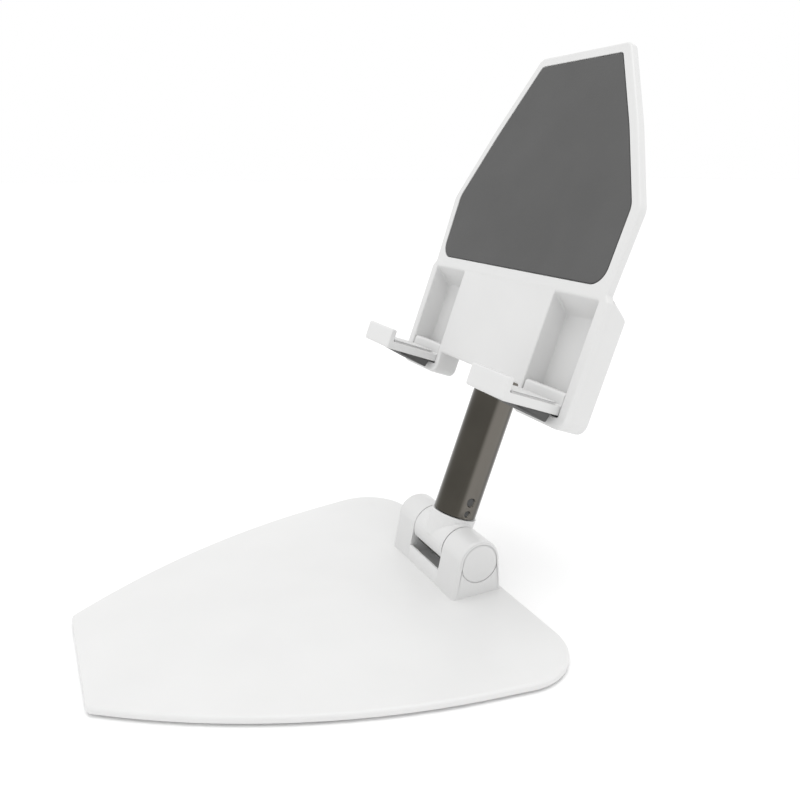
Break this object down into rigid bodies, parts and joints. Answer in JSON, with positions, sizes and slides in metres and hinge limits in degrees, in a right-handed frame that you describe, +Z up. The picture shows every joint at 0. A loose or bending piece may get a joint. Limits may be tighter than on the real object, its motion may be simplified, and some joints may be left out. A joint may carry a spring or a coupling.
{
  "type": "phone stand",
  "caption": "Folding desk phone stand: weighted shield-shaped base, friction hinge, round post and a sliding padded head with fold-up hooks.",
  "frame": {"origin": "centre of the footprint box, on the table surface", "axes": "+Z up, -Y towards the user, X along the hinge axis"},
  "size_m": [0.0922, 0.1202, 0.116],
  "materials": {
    "white_plastic": "satin moulded",
    "white_paint": "satin powder coat",
    "grey_rubber": "matte silicone",
    "white_rubber": "matte silicone",
    "dark_plastic": "matte",
    "dark_chrome": "polished dark nickel",
    "steel": "plain"
  },
  "bodies": {
    "base": {"base_plate": "white_paint", "base_mat": "grey_rubber", "hinge_block": "white_plastic", "block_screw_1": "steel", "block_screw_2": "steel", "block_screw_3": "steel", "block_screw_4": "steel", "end_cap_left": "white_plastic", "end_cap_right": "white_plastic", "axle_bolt": "steel", "axle_nut": "steel", "disc_spring": "steel", "friction_washer_left": "dark_plastic", "friction_washer_right": "dark_plastic"},
    "post": {"hinge_core": "dark_plastic", "barrel_cover": "white_plastic", "post_tube": "dark_chrome", "tube_pin_lower": "steel", "tube_pin_upper": "steel", "tube_plug": "dark_plastic"},
    "head": {"head_front": "white_plastic", "head_back": "white_plastic", "face_pad": "grey_rubber", "guide_bush": "dark_plastic", "brake_leaf": "steel", "cover_screw_1": "steel", "cover_screw_2": "steel", "cover_screw_3": "steel", "cover_screw_4": "steel", "hook_pin_left": "steel", "hook_pin_right": "steel"},
    "hook_left": {"hook_left": "white_plastic", "hook_pad_left": "white_rubber", "hook_wedge_left": "grey_rubber"},
    "hook_right": {"hook_right": "white_plastic", "hook_pad_right": "white_rubber", "hook_wedge_right": "grey_rubber"}
  },
  "joints": [
    {"name": "base_hinge", "type": "hinge", "parent": "base", "child": "post", "pos_m": [0, 0.02142, 0.0094], "axis": [1, 0, 0], "range_deg": [-10, 55]},
    {"name": "head_slide", "type": "slide", "parent": "post", "child": "head", "axis": [0, 0.3453, 0.9385], "range_m": [-0.031, 0]},
    {"name": "hook_left_fold", "type": "hinge", "parent": "head", "child": "hook_left", "pos_m": [-0.0242, 0.03043, 0.04823], "axis": [-1, 0, 0], "range_deg": [0, 90]},
    {"name": "hook_right_fold", "type": "hinge", "parent": "head", "child": "hook_right", "pos_m": [0.0242, 0.03043, 0.04823], "axis": [-1, 0, 0], "range_deg": [0, 90]}
  ]
}
